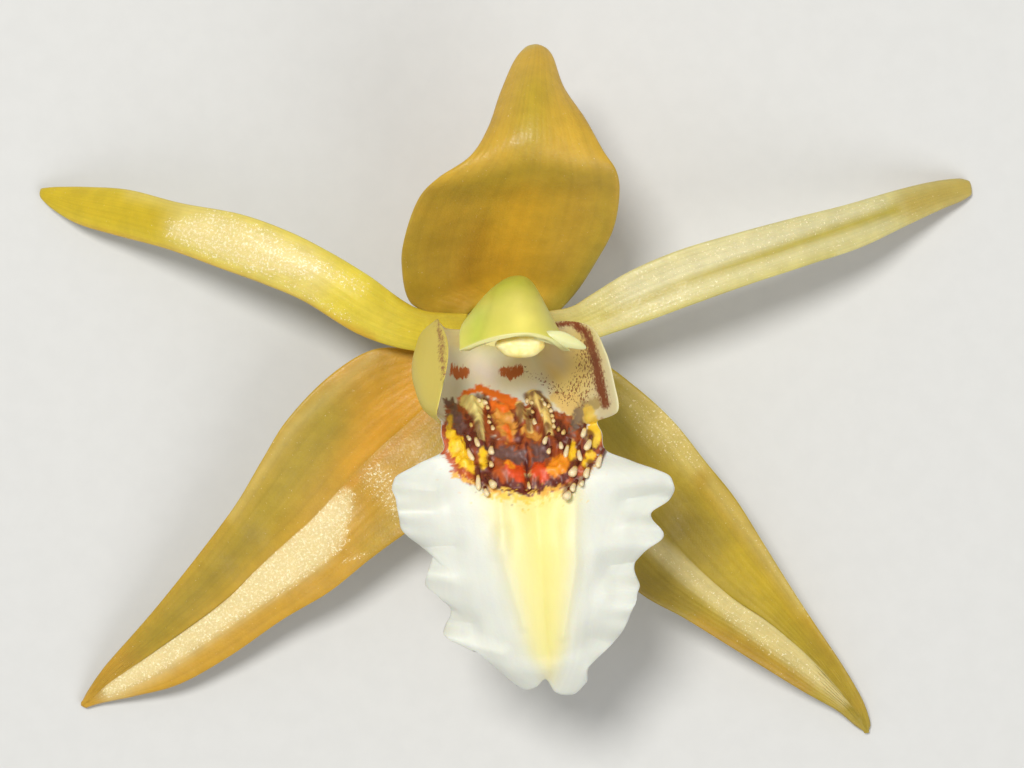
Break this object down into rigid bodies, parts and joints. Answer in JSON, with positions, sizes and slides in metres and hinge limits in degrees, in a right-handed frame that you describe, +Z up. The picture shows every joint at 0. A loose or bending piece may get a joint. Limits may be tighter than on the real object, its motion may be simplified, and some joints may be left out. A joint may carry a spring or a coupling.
{
  "type": "coelogyne orchid flower",
  "caption": "Picked orchid flower lying face up: spreading sepals and petals around a ruffled pale lip with a warty crest, a hooded column and a short cut stalk.",
  "frame": {"origin": "middle of the flower's bounding box, on the surface it lies on", "axes": "+Z up, the way the flower faces; +Y towards the dorsal sepal; +X towards the petal on the viewer's right"},
  "size_m": [0.0934, 0.0671, 0.0322],
  "materials": {
    "sepal": "waxy ochre plant skin with a fine sparkle",
    "petal": "waxy yellow plant skin with a silvery sheen",
    "lip": "matt greenish white with a yellow band and a brown and orange warty crest",
    "column": "waxy yellow green",
    "anther": "smooth cream yellow",
    "pollen": "hard yellow wax",
    "stalk": "matt green, shallowly ribbed"
  },
  "bodies": {
    "root": {"dorsal_sepal": "sepal", "left_lateral_sepal": "sepal", "right_lateral_sepal": "sepal", "left_petal": "petal", "right_petal": "petal", "lip": "lip", "column": "column", "anther_cap": "anther", "pollinarium": "pollen", "ovary_and_pedicel": "stalk"}
  },
  "joints": []
}
